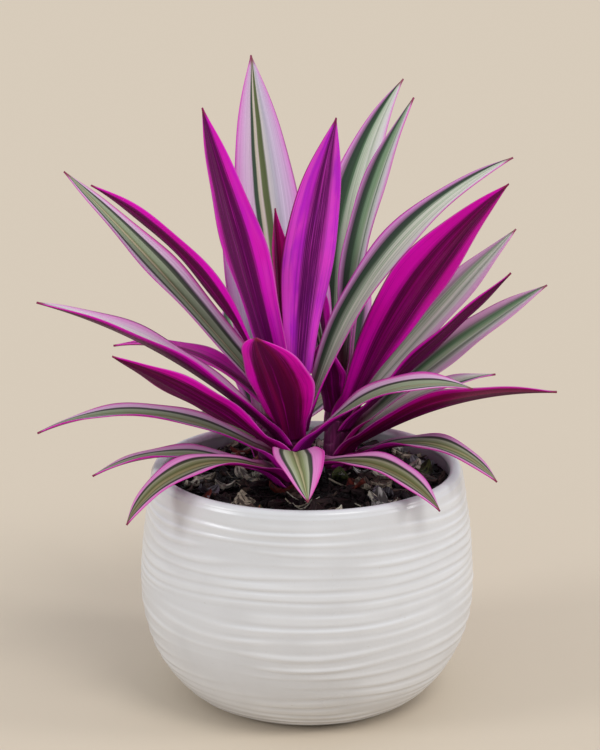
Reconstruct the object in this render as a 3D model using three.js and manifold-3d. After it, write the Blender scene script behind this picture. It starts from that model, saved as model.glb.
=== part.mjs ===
// Potted tradescantia: a white ribbed bowl pot of glazed ceramic, the potting mix in it, three fleshy
// stems and the strap leaves that clasp them. Millimetres, +Z up, the origin at the centre of the
// pot's foot, on the surface that it stands on. The front of the plant looks along -Y.
import * as THREE from "three";
import { mergeVertices } from "three/addons/utils/BufferGeometryUtils.js";
import Module from "manifold-3d";

const wasm = await Module();
wasm.setup();

// ---- Driving dimensions ----
const pot = {
  height: 119, // foot to the top of the rim
  bellyRadius: 82.5, // the widest place
  bellyHeight: 59,
  rimRadius: 76.3,
  footRadius: 42, // flat underneath
  wall: 6,
  floor: 9,
  bellyPower: 1.9, // how square the curve from foot to belly is
  shoulderPower: 1.6, // how late the shoulder turns in
  ribPitch: 6.2, // throwing ribs, measured along the wall
  ribDepth: 0.55,
  plainAtFoot: 9, // length of wall with no ribs, at the foot and at the rim
  plainAtRim: 6,
  segments: 44,
};
const soil = {
  top: 109.5, // mean level of the potting mix
  crown: 3, // how much higher it is heaped in the middle
  bump: 1.1,
  wallGap: 0.5,
  seatGap: 0.3,
  segments: 36,
  rings: 6, // rings of points across the surface
};
const chip = {
  count: 44,
  length: [5, 12], // least and most
  width: [3, 6],
  thickness: [2.2, 3.4],
  wallClearance: 9,
  stemClearance: 8,
};
const stem = {
  depth: 26, // how far it stands in the mix
  gap: 0.3, // between stem and mix, and between stem and leaf
  segments: 14,
  footTaper: 0.8, // girth of its foot, as a share of its full girth
  waist: 0.72, // girth at the last open leaf
  bud: 2, // how far it ends above the last leaf
};
const leaf = {
  clasp: 78, // degrees that the base wraps the stem, each way
  claspRun: 16, // length over which the clasp opens into the blade
  bendRun: 12, // length over which the blade takes its lean
  firstBend: 0.6, // share of the lean that it has where it leaves the stem
  neck: 0.52, // width at the foot of the blade, as a share of its widest
  widest: 0.54, // where the blade is widest, as a share of its length
  archPower: 1.2, // how late the arch comes
  rollRun: 0.4, // share of the length over which the blade takes its roll
  midThickness: 1.1,
  edgeThickness: 0.7,
  tipHalfWidth: 0.35,
  stations: 12, // cross-sections along the blade
};

// The three stems: where each stands, its radii at the soil and at its top, and its leaves from the
// lowest to the youngest. Each leaf has, in degrees and millimetres:
// heading (0 is +X, 90 away from the front), lean from upright, arch on top of it towards the tip,
// sway to the side, roll about its own length, length, width, cup, the curl of each half, and how
// full its outline is towards the tip, as a power.
const rosettes = [
  {
    name: "main",
    x: -7,
    y: -14,
    radius: 8,
    topRadius: 1.6,
    firstLeaf: 113.5,
    spacing: 3,
    openLeaves: 13, // those above them are upright and stand further apart
    uprightSpacing: 4.8,
    leaves: [
      [173, 72, 51, 0, 0, 96, 19, 36, 1.8],
      [-149, 66, 81, 0, 0, 94, 25, 30, 1.8],
      [-38, 69, 64, 0, 0, 86, 24, 30, 1.8],
      [169, 65, 54, 0, 0, 128, 24, 34, 1.8],
      [-87, 61, 91, 12, 0, 64, 25, 30, 1.8],
      [-155, 53, 8, 0, 32, 104, 24, 32, 1.8],
      [-21, 44, 56, 0, 14, 97, 22, 36, 1.8],
      [-166, 46, 27, 0, 0, 141, 30, 56, 1.8],
      [-105, 33, -1, -24, 0, 70, 37, 44, 4],
      [12, 18, 46, -9, 14, 170, 30, 42, 1.8],
      [155, 52, 54, 4, 6, 100, 25, 30, 1.8],
      [147, 48, 8, 0, 0, 169, 27, 32, 1.8],
      [157, 28, 43, -6, 50, 150, 22, 28, 1.8],
      [-133, 19, 1, 0, 0, 162, 31, 22, 1.8],
      [-66, 9, 19, 0, 0, 151, 28, 24, 1.8],
      [122, 16, -9, 0, 0, 160, 36, 24, 1.8],
      [-140, 5, 0, 0, 0, 85, 17, 50, 1.8],
    ],
  },
  {
    name: "right",
    x: 15,
    y: 17,
    radius: 7.5,
    topRadius: 1.6,
    firstLeaf: 114,
    spacing: 3.1,
    openLeaves: 10,
    uprightSpacing: 4.8,
    leaves: [
      [-36, 61, 65, 0, 0, 93, 23, 34, 1.8],
      [62, 78, 38, 0, 0, 104, 24, 34, 1.8],
      [-31, 56, 29, 0, -18, 124, 30, 46, 1.8],
      [17, 58, 32, 0, 0, 84, 19, 36, 1.8],
      [7, 49, 10, 0, 16, 124, 27, 34, 1.8],
      [84, 46, 30, 0, 0, 128, 25, 34, 1.8],
      [-14, 45, -2, 0, -22, 115, 20, 34, 1.8],
      [20, 44, 3, 0, 16, 127, 25, 34, 1.8],
      [-47, 29, 23, 0, -35, 171, 29, 26, 1.5],
      [-118, 16, 4, 0, 0, 40, 20, 36, 1.8],
      [88, 16, 32, -44, 0, 174, 27, 30, 1.8],
      [130, 17, 12, 0, 0, 116, 22, 34, 1.8],
      [22, 3, 27, 0, 0, 147, 30, 30, 1.8],
      [-165, 9, 4, 0, 0, 84, 17, 40, 1.8],
    ],
  },
  {
    name: "back",
    x: -18,
    y: 22,
    radius: 7,
    topRadius: 1.6,
    firstLeaf: 114,
    spacing: 3.2,
    openLeaves: 5,
    uprightSpacing: 5.2,
    leaves: [
      [118, 80, 30, 0, 0, 84, 23, 34, 1.8],
      [66, 74, 36, 0, 0, 100, 25, 34, 1.8],
      [104, 54, 30, 0, 0, 112, 25, 34, 1.8],
      [84, 36, 26, 0, 0, 128, 25, 32, 1.8],
      [110, 20, 16, 0, 0, 136, 26, 30, 1.8],
    ],
  },
];

const radians = THREE.MathUtils.degToRad;
const mix = THREE.MathUtils.lerp;
const ease = (t) => THREE.MathUtils.smoothstep(t, 0, 1);

// ---- Materials ----
const glaze = new THREE.MeshStandardMaterial({ color: 0xe9e8e6, roughness: 0.25 });
const mould = new THREE.MeshStandardMaterial({ color: 0x2a201a, roughness: 0.95 });
const fleshyStem = new THREE.MeshStandardMaterial({ color: 0x6d3a5c, roughness: 0.6 });
const stripedLeaf = new THREE.MeshStandardMaterial({ color: 0xa8327f, roughness: 0.45 });

// ---- Solids ----
// A closed three.js geometry as a manifold-3d solid, with its shared vertices merged.
function solidOf(geometry) {
  const bare = geometry.index ? geometry.toNonIndexed() : geometry.clone();
  bare.deleteAttribute("normal");
  bare.deleteAttribute("uv");
  const merged = mergeVertices(bare, 1e-3);
  return new wasm.Manifold(
    new wasm.Mesh({
      numProp: 3,
      vertProperties: merged.attributes.position.array,
      triVerts: new Uint32Array(merged.index.array),
    }),
  );
}

function geometryOf(solid) {
  const mesh = solid.getMesh();
  const position = new THREE.BufferAttribute(new Float32Array(mesh.vertProperties), 3);
  return new THREE.BufferGeometry()
    .setAttribute("position", position)
    .setIndex(new THREE.BufferAttribute(new Uint32Array(mesh.triVerts), 1));
}

// A profile of [radius, height] points turned about Z.
function turned(profile, segments) {
  const points = profile.map(([radius, height]) => new THREE.Vector2(radius, height));
  return new THREE.LatheGeometry(points, segments).rotateX(Math.PI / 2);
}

function named(name, geometry, material) {
  const mesh = new THREE.Mesh(geometry, material);
  mesh.name = name;
  return mesh;
}

// ---- The pot ----
// The wall's smooth outline from foot to rim, as [radius, height] points close together.
function wallOutline() {
  const { footRadius, bellyRadius, bellyHeight, rimRadius, height } = pot;
  const steps = 160;
  const outline = [];
  for (let i = 0; i <= steps; i++) {
    const turn = (Math.PI / 2) * (i / steps);
    outline.push([
      mix(footRadius, bellyRadius, Math.sin(turn) ** (2 / pot.bellyPower)),
      bellyHeight * (1 - Math.cos(turn) ** (2 / pot.bellyPower)),
    ]);
  }
  for (let i = 1; i <= steps; i++) {
    const rise = i / steps;
    outline.push([
      mix(bellyRadius, rimRadius, rise ** pot.shoulderPower),
      mix(bellyHeight, height, rise),
    ]);
  }
  return outline;
}

// The outline's points at these distances along it, each pushed out by its own relief.
function alongOutline(outline, places) {
  const found = [];
  let travelled = 0;
  let next = 0;
  for (let i = 1; i < outline.length && next < places.length; i++) {
    const [r0, z0] = outline[i - 1];
    const [r1, z1] = outline[i];
    const step = Math.hypot(r1 - r0, z1 - z0);
    while (next < places.length && places[next].at <= travelled + step) {
      const share = (places[next].at - travelled) / step;
      const out = places[next].relief / step;
      found.push([mix(r0, r1, share) + out * (z1 - z0), mix(z0, z1, share) - out * (r1 - r0)]);
      next++;
    }
    travelled += step;
  }
  return found;
}

// Throwing ribs: crest and valley in turn, up the wall.
function ribbedWall() {
  const outline = wallOutline();
  let wallLength = 0;
  for (let i = 1; i < outline.length; i++) {
    wallLength += Math.hypot(outline[i][0] - outline[i - 1][0], outline[i][1] - outline[i - 1][1]);
  }
  const places = [
    { at: 0, relief: 0 },
    { at: pot.plainAtFoot / 2, relief: 0 },
  ];
  const last = wallLength - pot.plainAtRim;
  for (let at = pot.plainAtFoot, crest = false; at < last; at += pot.ribPitch / 2, crest = !crest) {
    places.push({ at, relief: crest ? pot.ribDepth : 0 });
  }
  return alongOutline(outline, places);
}

function roundedRim() {
  const middle = pot.rimRadius - pot.wall / 2;
  const rim = [];
  const steps = 6;
  for (let i = 0; i <= steps; i++) {
    const turn = (Math.PI * i) / steps;
    rim.push([
      middle + (pot.wall / 2) * Math.cos(turn),
      pot.height - (pot.wall / 2) * (1 - Math.sin(turn)),
    ]);
  }
  return rim;
}

// Radius of the inner wall at a height, a wall's thickness inside the outline.
function innerRadius(height) {
  if (height >= pot.bellyHeight) {
    const rise = (height - pot.bellyHeight) / (pot.height - pot.bellyHeight);
    return mix(pot.bellyRadius, pot.rimRadius, rise ** pot.shoulderPower) - pot.wall;
  }
  const inside = pot.bellyHeight - pot.floor;
  const drop = (pot.bellyHeight - height) / inside;
  const share = (1 - Math.min(1, drop) ** pot.bellyPower) ** (1 / pot.bellyPower);
  return mix(pot.footRadius - pot.wall, pot.bellyRadius - pot.wall, share);
}

const innerHeights = [110, 98, 84, 68, 52, 38, 26, 17, 12, 9.8];

function potMesh() {
  const profile = [
    [0, 0],
    ...ribbedWall(),
    ...roundedRim(),
    ...innerHeights.map((height) => [innerRadius(height), height]),
    [innerRadius(pot.floor), pot.floor],
    [0, pot.floor],
  ];
  return named("pot", turned(profile, pot.segments), glaze);
}

// ---- The potting mix ----
// One seeded stream of even random numbers from 0 to 1.
function seeded(seed) {
  let state = seed;
  return () => {
    state = (state * 1664525 + 1013904223) % 4294967296;
    return state / 4294967296;
  };
}

// The surface of the mix: heaped a little in the middle, and uneven.
function soilHeight(x, y) {
  const share = Math.hypot(x, y) / innerRadius(soil.top);
  const uneven = Math.sin(x / 7 + 1.3) * Math.cos(y / 9 - 0.4) + 0.5 * Math.sin((x + y) / 4.3);
  return soil.top + soil.crown * (1 - share * share) + soil.bump * uneven * (1 - share ** 4);
}

function soilBody() {
  const edge = innerRadius(soil.top) - soil.wallGap;
  const profile = [[0, pot.floor + soil.seatGap]];
  for (const height of [pot.floor, ...innerHeights.toReversed()]) {
    if (height < soil.top - 2) {
      profile.push([innerRadius(height) - soil.wallGap, height + soil.seatGap]);
    }
  }
  profile.push([edge, soil.top]);
  for (let i = soil.rings - 1; i >= 0; i--) profile.push([(edge * i) / soil.rings, soil.top]);
  const geometry = turned(profile, soil.segments);
  const position = geometry.attributes.position;
  for (let i = 0; i < position.count; i++) {
    const [x, y, z] = [position.getX(i), position.getY(i), position.getZ(i)];
    if (z > soil.top - 0.01) position.setZ(i, soilHeight(x, y));
  }
  return solidOf(geometry);
}

// Bark chips lying half sunk in the surface, clear of the stems and of the wall.
function barkChips() {
  const random = seeded(7);
  const between = ([least, most]) => mix(least, most, random());
  const chips = [];
  while (chips.length < chip.count) {
    const turn = 2 * Math.PI * random();
    const reach = (innerRadius(soil.top) - chip.wallClearance) * Math.sqrt(random());
    const [x, y] = [reach * Math.cos(turn), reach * Math.sin(turn)];
    const size = [between(chip.length), between(chip.width), between(chip.thickness)];
    const tilt = new THREE.Euler(radians(between([-9, 9])), radians(between([-14, 14])), turn * 3);
    const nearStem = (stand) =>
      Math.hypot(x - stand.x, y - stand.y) < stand.radius + chip.stemClearance;
    if (rosettes.some(nearStem)) continue;
    const piece = new THREE.BoxGeometry(...size);
    piece.applyMatrix4(new THREE.Matrix4().makeRotationFromEuler(tilt));
    chips.push(piece.translate(x, y, soilHeight(x, y)));
  }
  return chips;
}

function soilMesh() {
  let mass = soilBody();
  for (const piece of barkChips()) mass = mass.add(solidOf(piece));
  for (const rosette of rosettes) {
    const foot = stemFoot(rosette);
    const radius = rosette.radius + 2 * stem.gap;
    const depth = stem.depth + stem.gap;
    const hole = new THREE.CylinderGeometry(radius, radius, 2 * depth, 2 * stem.segments);
    hole.rotateX(Math.PI / 2).translate(rosette.x, rosette.y, foot - stem.gap + depth);
    mass = mass.subtract(solidOf(hole));
  }
  return named("soil", geometryOf(mass), mould);
}

// ---- Stems ----
function stemFoot(rosette) {
  return soilHeight(rosette.x, rosette.y) - stem.depth;
}

// Height at which each leaf leaves the stem, from the lowest up.
function leafHeight(rosette, index) {
  const open = Math.min(index, rosette.openLeaves);
  const upright = Math.max(0, index - rosette.openLeaves);
  return rosette.firstLeaf + open * rosette.spacing + upright * rosette.uprightSpacing;
}

// The stem keeps its girth up to the last open leaf and then draws in to its growing tip.
function stemRadius(rosette, height) {
  const shoulder = leafHeight(rosette, rosette.openLeaves);
  const top = leafHeight(rosette, rosette.leaves.length);
  const waist = rosette.radius * stem.waist;
  if (height <= rosette.firstLeaf) return rosette.radius;
  if (height <= shoulder) {
    return mix(rosette.radius, waist, (height - rosette.firstLeaf) / (shoulder - rosette.firstLeaf));
  }
  return mix(waist, rosette.topRadius, Math.min(1, (height - shoulder) / (top - shoulder)));
}

function stemMesh(rosette) {
  const foot = stemFoot(rosette);
  const shoulder = leafHeight(rosette, rosette.openLeaves);
  const top = leafHeight(rosette, rosette.leaves.length);
  const profile = [
    [0, foot],
    [rosette.radius * stem.footTaper, foot],
    [rosette.radius, foot + rosette.radius / 2],
    [rosette.radius, rosette.firstLeaf],
    [stemRadius(rosette, shoulder), shoulder],
    [rosette.topRadius, top],
    [rosette.topRadius / 2, top + stem.bud],
    [0, top + stem.bud],
  ];
  return named(`${rosette.name}_stem`, turned(profile, stem.segments), fleshyStem);
}

// ---- Leaves ----
// Half width of the blade at a share of its length, from the foot of the blade to the tip.
function bladeOutline(share, fullness) {
  if (share < leaf.widest) return mix(leaf.neck, 1, ease(share / leaf.widest));
  return 1 - ((share - leaf.widest) / (1 - leaf.widest)) ** fullness;
}

// One cross-section: a curved strip of even arc, thick at the midrib and thin at its edges.
function leafSection(frame) {
  const { centre, side, face } = frame;
  const across = [-1, -0.5, 0, 0.5, 1];
  const curl = radians(frame.curl);
  const bow = frame.halfWidth / curl;
  const point = (place, sign) => {
    const turn = place * curl;
    const thickness = mix(leaf.midThickness, leaf.edgeThickness, Math.abs(place));
    const depth = bow - (sign * thickness) / 2;
    return centre
      .clone()
      .addScaledVector(side, depth * Math.sin(turn))
      .addScaledVector(face, bow - depth * Math.cos(turn));
  };
  const upper = across.map((place) => point(place, 1));
  const lower = across.map((place) => point(place, -1)).reverse();
  return [...upper, ...lower];
}

// Joins rings of points, each with as many, into one closed geometry with flat ends.
function loft(rings) {
  const around = rings[0].length;
  const faces = [];
  for (let i = 0; i + 1 < rings.length; i++) {
    for (let j = 0; j < around; j++) {
      const next = (j + 1) % around;
      const [a, b] = [i * around + j, i * around + next];
      faces.push(a, b + around, b, a, a + around, b + around);
    }
  }
  const last = (rings.length - 1) * around;
  const half = around / 2;
  for (let j = 0; j + 1 < half; j++) {
    const [up, down] = [j, around - 1 - j];
    faces.push(up, up + 1, down, up + 1, down - 1, down);
    faces.push(last + up, last + down, last + up + 1);
    faces.push(last + up + 1, last + down, last + down - 1);
  }
  const position = new THREE.Float32BufferAttribute(
    rings.flat().flatMap((point) => point.toArray()),
    3,
  );
  return new THREE.BufferGeometry().setAttribute("position", position).setIndex(faces);
}

// A leaf in its own frame: the stem's axis is Z, and the leaf heads along +X.
function leafGeometry(shape) {
  const claspBow = shape.stemRadius + stem.gap + leaf.midThickness / 2;
  const centre = new THREE.Vector3(claspBow, 0, 0);
  const rings = [];
  const fine = 10; // steps of the midrib between two cross-sections
  const steps = (leaf.stations - 1) * fine;
  const step = shape.length / steps;
  for (let i = 0; i <= steps; i++) {
    const along = i * step;
    const share = along / shape.length;
    const bent = Math.max(0, (along - leaf.bendRun) / (shape.length - leaf.bendRun));
    const leaning = mix(leaf.firstBend, 1, ease(along / leaf.bendRun)) * shape.lean;
    const tilt = radians(leaning + shape.arch * bent ** leaf.archPower);
    const turn = radians(shape.sway * bent ** leaf.archPower);
    const heading = new THREE.Vector3(
      Math.sin(tilt) * Math.cos(turn),
      Math.sin(tilt) * Math.sin(turn),
      Math.cos(tilt),
    );
    if (i % fine === 0) {
      const opened = ease(along / leaf.claspRun);
      const sectionTilt = tilt * ease(along / leaf.bendRun);
      const face = new THREE.Vector3(
        -Math.cos(sectionTilt) * Math.cos(turn),
        -Math.cos(sectionTilt) * Math.sin(turn),
        Math.sin(sectionTilt),
      );
      const side = new THREE.Vector3(-Math.sin(turn), Math.cos(turn), 0);
      const roll = radians(shape.roll) * ease(share / leaf.rollRun);
      const blade = Math.max(leaf.tipHalfWidth, (shape.width / 2) * bladeOutline(share, shape.fullness));
      rings.push(
        leafSection({
          centre: centre.clone(),
          side: side.applyAxisAngle(heading, roll),
          face: face.applyAxisAngle(heading, roll),
          halfWidth: mix(claspBow * radians(leaf.clasp), blade, opened),
          curl: mix(leaf.clasp, shape.cup * (1 - 0.5 * share), opened),
        }),
      );
    }
    centre.addScaledVector(heading, step);
  }
  return loft(rings);
}

function leafMesh(rosette, index) {
  const [heading, lean, arch, sway, roll, length, width, cup, fullness] = rosette.leaves[index];
  const height = leafHeight(rosette, index);
  const shape = {
    lean,
    arch,
    sway,
    roll,
    length,
    width,
    cup,
    fullness,
    stemRadius: stemRadius(rosette, height),
  };
  const number = String(index + 1).padStart(2, "0");
  const mesh = named(`${rosette.name}_leaf_${number}`, leafGeometry(shape), stripedLeaf);
  mesh.position.z = height;
  mesh.rotation.z = radians(heading);
  return mesh;
}

// ---- The whole plant ----
function rosetteGroup(rosette) {
  const group = new THREE.Group();
  group.position.set(rosette.x, rosette.y, 0);
  group.add(stemMesh(rosette));
  rosette.leaves.forEach((_, index) => group.add(leafMesh(rosette, index)));
  return group;
}

const plant = new THREE.Group();
plant.add(potMesh(), soilMesh(), ...rosettes.map(rosetteGroup));
export default plant;
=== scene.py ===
import math
from types import SimpleNamespace

import bpy
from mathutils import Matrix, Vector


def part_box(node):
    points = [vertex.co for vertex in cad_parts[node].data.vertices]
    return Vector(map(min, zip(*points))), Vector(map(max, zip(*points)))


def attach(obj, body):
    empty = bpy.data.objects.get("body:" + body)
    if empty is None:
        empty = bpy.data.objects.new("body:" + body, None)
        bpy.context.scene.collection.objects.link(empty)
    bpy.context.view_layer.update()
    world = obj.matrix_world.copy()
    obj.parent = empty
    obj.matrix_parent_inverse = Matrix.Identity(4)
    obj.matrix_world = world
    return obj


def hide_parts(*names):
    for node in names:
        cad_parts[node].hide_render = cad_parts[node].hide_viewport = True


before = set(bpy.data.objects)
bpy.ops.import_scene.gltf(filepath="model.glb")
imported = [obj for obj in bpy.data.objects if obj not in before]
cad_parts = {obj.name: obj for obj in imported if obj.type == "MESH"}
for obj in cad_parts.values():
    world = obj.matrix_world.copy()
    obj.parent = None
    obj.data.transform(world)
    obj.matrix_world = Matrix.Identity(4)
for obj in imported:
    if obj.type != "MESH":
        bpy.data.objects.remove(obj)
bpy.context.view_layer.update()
mm = 0.001


# a number in a node tree, so that formulas read as formulas
class Number:
    def __init__(self, tree, socket):
        self.tree = tree
        self.socket = socket

    def work(self, operation, *values):
        node = self.tree.nodes.new("ShaderNodeMath")
        node.operation = operation
        for socket, value in zip(node.inputs, values):
            plug(self.tree, socket, value)
        return Number(self.tree, node.outputs[0])

    def __neg__(self):
        return self * -1

    # 0 below low, 1 above high, with a soft start and end
    def ease(self, low, high):
        node = self.tree.nodes.new("ShaderNodeMapRange")
        node.interpolation_type = "SMOOTHSTEP"
        for name, value in (("Value", self), ("From Min", low), ("From Max", high)):
            plug(self.tree, node.inputs[name], value)
        return Number(self.tree, node.outputs[0])

    # the other way round: 1 below low, 0 above high
    def fade(self, low, high):
        return 1 - self.ease(low, high)

    def clamp(self):
        return self.most(0).least(1)

    # a noise from 0 to 1, turned into a swing to both sides of 0
    def swing(self, amount):
        return (self - 0.5) * amount


# each operation of the math node gets a method of a number and, where a plain value may come
# before the number, one for that
methods = {
    "ADD": ("__add__", "__radd__"), "SUBTRACT": ("__sub__", "__rsub__"),
    "MULTIPLY": ("__mul__", "__rmul__"), "DIVIDE": ("__truediv__", "__rtruediv__"),
    "POWER": ("__pow__",), "ABSOLUTE": ("__abs__",), "MINIMUM": ("least",),
    "MAXIMUM": ("most",), "GREATER_THAN": ("over",), "SINE": ("sin",), "COSINE": ("cos",),
    "FLOOR": ("floor",), "FRACT": ("fraction",), "RADIANS": ("radians",),
}


def addMethod(operation, name, afterPlain=None):
    setattr(Number, name, lambda *values: values[0].work(operation, *values))
    if afterPlain:
        setattr(Number, afterPlain, lambda number, plain: number.work(operation, plain, number))


for operation, names in methods.items():
    addMethod(operation, *names)


def plug(tree, socket, value):
    if isinstance(value, Number):
        tree.links.new(value.socket, socket)
    elif isinstance(value, bpy.types.NodeSocket):
        tree.links.new(value, socket)
    else:
        socket.default_value = value


# the number that lies a share of the way from a to b
def mix(a, b, share):
    return a + (b - a) * share


def arctan2(y, x):
    return y.work("ARCTAN2", y, x)


def addNode(tree, kind, inputs=None, **settings):
    node = tree.nodes.new(kind)
    for name, value in settings.items():
        setattr(node, name, value)
    for name, value in (inputs or {}).items():
        plug(tree, node.inputs[name], value)
    return node


def combine(x, y, z):
    return addNode(x.tree, "ShaderNodeCombineXYZ", {"X": x, "Y": y, "Z": z}).outputs[0]


def separate(tree, vector):
    node = addNode(tree, "ShaderNodeSeparateXYZ", {"Vector": vector})
    return [Number(tree, output) for output in node.outputs]


# a noise from 0 to 1, read at a place made of three numbers
def noiseAt(x, y, z, scale=1.0, detail=2.0, roughness=0.5):
    node = addNode(x.tree, "ShaderNodeTexNoise", {
        "Vector": combine(x, y, z), "Scale": scale, "Detail": detail, "Roughness": roughness})
    return Number(x.tree, node.outputs[0])


# a geometry tree with named inputs, which come back as numbers
def newTree(name, sizes):
    tree = bpy.data.node_groups.new(name, "GeometryNodeTree")
    tree.interface.new_socket("Geometry", in_out="OUTPUT", socket_type="NodeSocketGeometry")
    kinds = {float: "NodeSocketFloat", tuple: "NodeSocketVector"}
    for size, value in sizes.items():
        socket = tree.interface.new_socket(size, in_out="INPUT", socket_type=kinds[type(value)])
        socket.default_value = value
    tree.interface.new_socket("Finish", in_out="INPUT", socket_type="NodeSocketMaterial")
    source = tree.nodes.new("NodeGroupInput")
    return tree, {size: Number(tree, source.outputs[size]) for size in (*sizes, "Finish")}


def endTree(tree, n, geometry):
    realized = addNode(tree, "GeometryNodeRealizeInstances", {"Geometry": geometry})
    finished = addNode(tree, "GeometryNodeSetMaterial",
                       {"Geometry": realized.outputs[0], "Material": n["Finish"]})
    out = tree.nodes.new("NodeGroupOutput")
    tree.links.new(finished.outputs[0], out.inputs["Geometry"])


# keeps numbers on a geometry by name, for later nodes and for the material
def store(tree, geometry, numbers, domain="POINT"):
    for name, value in numbers.items():
        node = addNode(tree, "GeometryNodeStoreNamedAttribute",
                       {"Geometry": geometry, "Name": name, "Value": value},
                       data_type="FLOAT", domain=domain)
        geometry = node.outputs[0]
    return geometry


def storedNumbers(tree, *names):
    nodes = [addNode(tree, "GeometryNodeInputNamedAttribute", {"Name": name}, data_type="FLOAT")
             for name in names]
    return [Number(tree, node.outputs[0]) for node in nodes]


def pointPlace(tree):
    return tree.nodes.new("GeometryNodeInputPosition").outputs[0]


# puts the points of a geometry at a place or, by "Offset", moves them
def putPoints(tree, geometry, place, how="Position"):
    return addNode(tree, "GeometryNodeSetPosition", {"Geometry": geometry, how: place}).outputs[0]


def shadeSmooth(tree, geometry, smooth=True):
    return addNode(tree, "GeometryNodeSetShadeSmooth",
                   {"Geometry": geometry, "Shade Smooth": smooth}).outputs[0]


# a closed tube, 1 in radius and in height, with the three parts of its points' places
def newTube(tree, mesh):
    tube = addNode(tree, "GeometryNodeMeshCylinder", {
        "Vertices": mesh["around"], "Side Segments": mesh["stations"], "Radius": 1, "Depth": 1},
        fill_type="NGON")
    return tube.outputs["Mesh"], separate(tree, pointPlace(tree))


# a tube to turn a round shape from; its run, from 0 to 1, and its way out are stored, because
# setting the position changes what the tube's own numbers say
def turningTube(tree, mesh):
    shell, (x, y, z) = newTube(tree, mesh)
    shell = store(tree, shell, {"run": z + 0.5, "easting": x, "northing": y})
    return shell, *storedNumbers(tree, "run", "easting", "northing")


def addObject(name, data):
    made = bpy.data.objects.new(name, data)
    bpy.context.scene.collection.objects.link(made)
    return made


# runs a tree once and keeps its result as a plain mesh
def grow(name, tree, values, material):
    piece = addObject(name, bpy.data.meshes.new(name + "Start"))
    modifier = piece.modifiers.new("tree", "NODES")
    modifier.node_group = tree
    sockets = {item.name: item.identifier for item in tree.interface.items_tree
               if item.in_out == "INPUT"}
    for size, value in (*values.items(), ("Finish", material)):
        modifier[sockets[size]] = value
    bpy.context.view_layer.update()
    graph = bpy.context.evaluated_depsgraph_get()
    mesh = bpy.data.meshes.new_from_object(
        piece.evaluated_get(graph), preserve_all_data_layers=True, depsgraph=graph)
    piece.modifiers.clear()
    piece.data = mesh
    mesh.name = name
    return piece


# a finished piece rides on the only body and stands for its node
def seat(piece, node):
    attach(piece, "root")
    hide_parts(node)


def newMaterial(name):
    material = bpy.data.materials.new(name)
    material.use_nodes = True
    tree = material.node_tree
    return material, tree, tree.nodes["Principled BSDF"]


def readAttributes(tree, *names):
    nodes = [addNode(tree, "ShaderNodeAttribute", attribute_type="GEOMETRY", attribute_name=name)
             for name in names]
    return [Number(tree, node.outputs["Fac"]) for node in nodes]


def objectPlace(tree):
    return separate(tree, tree.nodes.new("ShaderNodeTexCoord").outputs["Object"])


# stops are (place, red, green, blue)
def ramp(factor, stops, interpolation="LINEAR"):
    node = factor.tree.nodes.new("ShaderNodeValToRGB")
    node.color_ramp.interpolation = interpolation
    while len(node.color_ramp.elements) < len(stops):
        node.color_ramp.elements.new(0.5)
    for element, (place, *colour) in zip(node.color_ramp.elements, stops):
        element.position = place
        element.color = (*colour, 1)
    plug(factor.tree, node.inputs[0], factor)
    return node.outputs[0]


def blend(share, first, second, how="MIX"):
    node = addNode(share.tree, "ShaderNodeMix", data_type="RGBA", blend_type=how)
    plug(share.tree, node.inputs[0], share)
    for socket, colour in ((node.inputs[6], first), (node.inputs[7], second)):
        plug(share.tree, socket, (*colour, 1) if isinstance(colour, tuple) else colour)
    return node.outputs[2]


# gives a shader its colour and its bump, with the gloss and the depth that a finish says
def dress(tree, shader, finish, colour, height):
    bump = addNode(tree, "ShaderNodeBump", {
        "Height": height, "Distance": finish["bump"], "Strength": finish["bumpStrength"]})
    for name, value in (("Base Color", colour), ("Roughness", finish["roughness"]),
                        ("Specular IOR Level", finish["specular"]), ("Normal", bump.outputs[0])):
        plug(tree, shader.inputs[name], value)


# the camera stands where the photograph was taken from
view = {
    "place": (-3.5 * mm, -1200 * mm, 497 * mm),
    "down": 15.5,  # degrees
    "lens": 122.3,
    "sensor": 36.0,
}


def addCamera():
    data = bpy.data.cameras.new("camera")
    data.lens = view["lens"]
    data.sensor_width = view["sensor"]
    camera = addObject("camera", data)
    camera.location = view["place"]
    camera.rotation_euler = (math.radians(90 - view["down"]), 0, 0)
    bpy.context.scene.camera = camera


addCamera()

# one strap leaf, bent about the stem that it clasps; the same shape as the CAD leaf, finer
blade = {
    "clasp": 78.0,  # degrees that the base wraps the stem, each way
    "claspRun": 16 * mm,
    "bendRun": 12 * mm,
    "firstBend": 0.6,
    "neck": 0.52,  # of the greatest width
    "widest": 0.54,  # of the way along
    "archPower": 1.2,
    "rollRun": 0.4,
    "cupLoss": 0.5,  # how much of its cup the leaf has lost at the tip
    "gap": 0.3 * mm,  # between stem and leaf
    "midThickness": 1.1 * mm,
    "edgeThickness": 0.6 * mm,
    "edgeRounding": 7,  # the larger, the nearer to the edge the rounding starts
    "edgeReach": 0.9999,  # the outermost points lie a hair inside the edge
    "tipHalfWidth": 0.3 * mm,
    "keel": 0.9 * mm,  # how far the midrib is creased below the curve of the halves
    "keelNarrowness": 3,
    "ripple": 0.7 * mm,  # how far the edges wave
    "rippleTurn": 17,  # radians of that wave from base to tip
    "midribSteps": 168,
    "around": 44,
    "stations": 84,
}


# tilt from upright and turn to the side, at a distance along the leaf
def leafBearing(n, along):
    bent = ((along - blade["bendRun"]) / (n["Length"] - blade["bendRun"])).most(0)
    late = bent ** blade["archPower"]
    leaning = mix(blade["firstBend"], 1, along.ease(0, blade["bendRun"])) * n["Lean"]
    return (leaning + n["Arch"] * late).radians(), (n["Sway"] * late).radians()


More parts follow.
